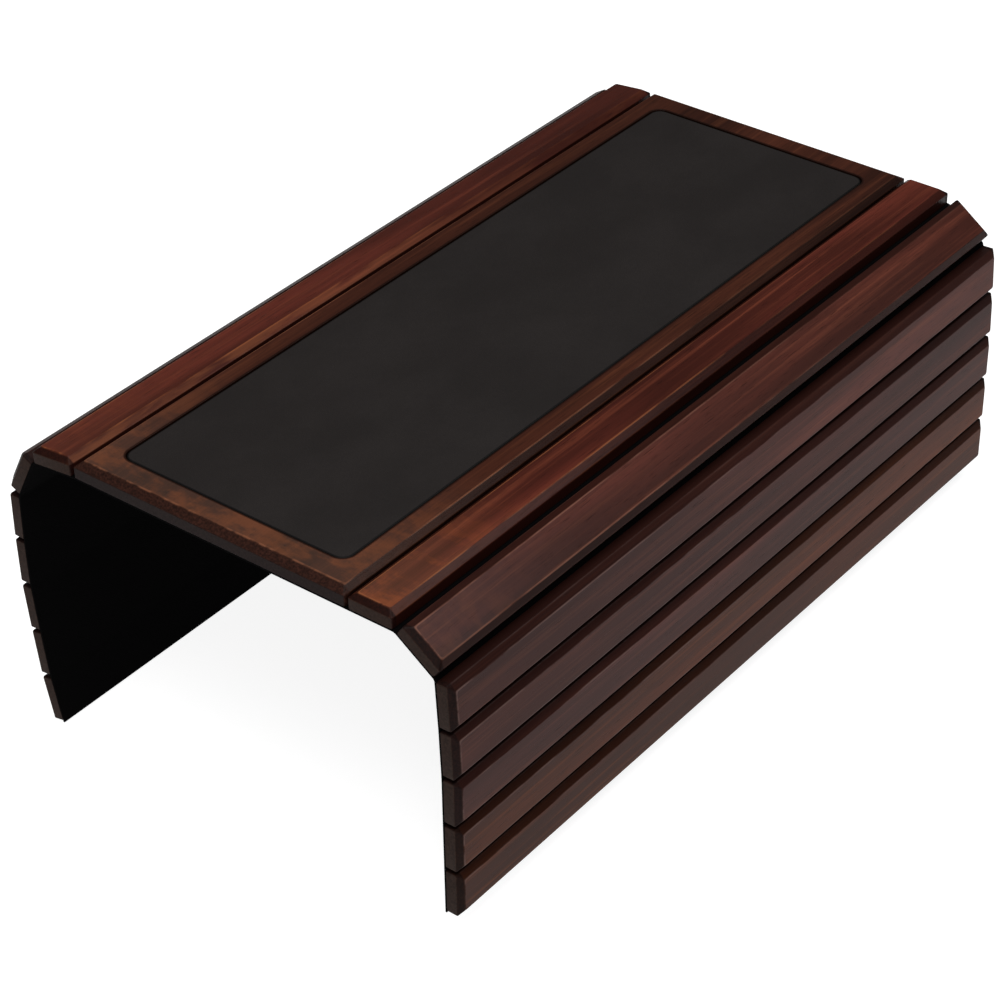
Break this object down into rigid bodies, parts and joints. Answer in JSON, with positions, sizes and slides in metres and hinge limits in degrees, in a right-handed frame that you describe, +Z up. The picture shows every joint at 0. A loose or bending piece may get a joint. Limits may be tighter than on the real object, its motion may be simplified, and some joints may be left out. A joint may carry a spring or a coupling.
{
  "type": "sofa arm tray",
  "caption": "Flexible wooden armrest tray: a flat centre board with an inset black pad, and cloth-hinged slats that drape down both sides of a sofa arm.",
  "frame": {"origin": "centre of the backing cloth's underside beneath the centre board, the face that rests on the sofa arm", "axes": "+Z up, +Y along the sofa arm and the slats, away from the picture's camera, +X to the right across the arm"},
  "size_m": [0.2614, 0.44, 0.1615],
  "materials": {
    "board_wood": "satin dark walnut stain",
    "slat_wood": "satin dark walnut stain",
    "pad_surface": "matte, fine leather-like grain",
    "backing_cloth": "matte black plain weave"
  },
  "bodies": {
    "board": {"centre_board": "board_wood", "inset_pad": "pad_surface", "centre_backing": "backing_cloth"},
    "right_1": {"right_slat_1": "slat_wood", "right_backing_1": "backing_cloth"},
    "right_2": {"right_slat_2": "slat_wood", "right_backing_2": "backing_cloth"},
    "right_3": {"right_slat_3": "slat_wood", "right_backing_3": "backing_cloth"},
    "right_4": {"right_slat_4": "slat_wood", "right_backing_4": "backing_cloth"},
    "right_5": {"right_slat_5": "slat_wood", "right_backing_5": "backing_cloth"},
    "right_6": {"right_slat_6": "slat_wood", "right_backing_6": "backing_cloth"},
    "right_7": {"right_slat_7": "slat_wood", "right_backing_7": "backing_cloth"},
    "left_1": {"left_slat_1": "slat_wood", "left_backing_1": "backing_cloth"},
    "left_2": {"left_slat_2": "slat_wood", "left_backing_2": "backing_cloth"},
    "left_3": {"left_slat_3": "slat_wood", "left_backing_3": "backing_cloth"},
    "left_4": {"left_slat_4": "slat_wood", "left_backing_4": "backing_cloth"},
    "left_5": {"left_slat_5": "slat_wood", "left_backing_5": "backing_cloth"},
    "left_6": {"left_slat_6": "slat_wood", "left_backing_6": "backing_cloth"},
    "left_7": {"left_slat_7": "slat_wood", "left_backing_7": "backing_cloth"}
  },
  "joints": [
    {"name": "right_hinge_1", "type": "hinge", "parent": "board", "child": "right_1", "pos_m": [0.07885, 0, 0], "axis": [0, 1, 0], "range_deg": [-12, 90]},
    {"name": "right_hinge_2", "type": "hinge", "parent": "right_1", "child": "right_2", "pos_m": [0.10435, 0, 0], "axis": [0, -1, 0], "range_deg": [-54, 48]},
    {"name": "right_hinge_3", "type": "hinge", "parent": "right_2", "child": "right_3", "pos_m": [0.12498, 0, -0.01499], "axis": [0, 1, 0], "range_deg": [-63, 39]},
    {"name": "right_hinge_4", "type": "hinge", "parent": "right_3", "child": "right_4", "pos_m": [0.12631, 0, -0.04045], "axis": [0, -1, 0], "range_deg": [-89, 13]},
    {"name": "right_hinge_5", "type": "hinge", "parent": "right_4", "child": "right_5", "pos_m": [0.1272, 0, -0.06594], "axis": [0, 1, 0], "range_deg": [-14, 88]},
    {"name": "right_hinge_6", "type": "hinge", "parent": "right_5", "child": "right_6", "pos_m": [0.1272, 0, -0.09144], "axis": [0, -1, 0], "range_deg": [-90, 12]},
    {"name": "right_hinge_7", "type": "hinge", "parent": "right_6", "child": "right_7", "pos_m": [0.1272, 0, -0.11694], "axis": [0, 1, 0], "range_deg": [-12, 90]},
    {"name": "left_hinge_1", "type": "hinge", "parent": "board", "child": "left_1", "pos_m": [-0.07885, 0, 0], "axis": [0, -1, 0], "range_deg": [-18, 84]},
    {"name": "left_hinge_2", "type": "hinge", "parent": "left_1", "child": "left_2", "pos_m": [-0.10421, 0, -0.00267], "axis": [0, 1, 0], "range_deg": [-33, 69]},
    {"name": "left_hinge_3", "type": "hinge", "parent": "left_2", "child": "left_3", "pos_m": [-0.11579, 0, -0.02539], "axis": [0, -1, 0], "range_deg": [-38, 64]},
    {"name": "left_hinge_4", "type": "hinge", "parent": "left_3", "child": "left_4", "pos_m": [-0.11623, 0, -0.05088], "axis": [0, 1, 0], "range_deg": [-88, 14]},
    {"name": "left_hinge_5", "type": "hinge", "parent": "left_4", "child": "left_5", "pos_m": [-0.11579, 0, -0.07638], "axis": [0, -1, 0], "range_deg": [-17, 85]},
    {"name": "left_hinge_6", "type": "hinge", "parent": "left_5", "child": "left_6", "pos_m": [-0.11312, 0, -0.10174], "axis": [0, 1, 0], "range_deg": [-89, 13]},
    {"name": "left_hinge_7", "type": "hinge", "parent": "left_6", "child": "left_7", "pos_m": [-0.11001, 0, -0.12705], "axis": [0, -1, 0], "range_deg": [-17, 85]}
  ]
}
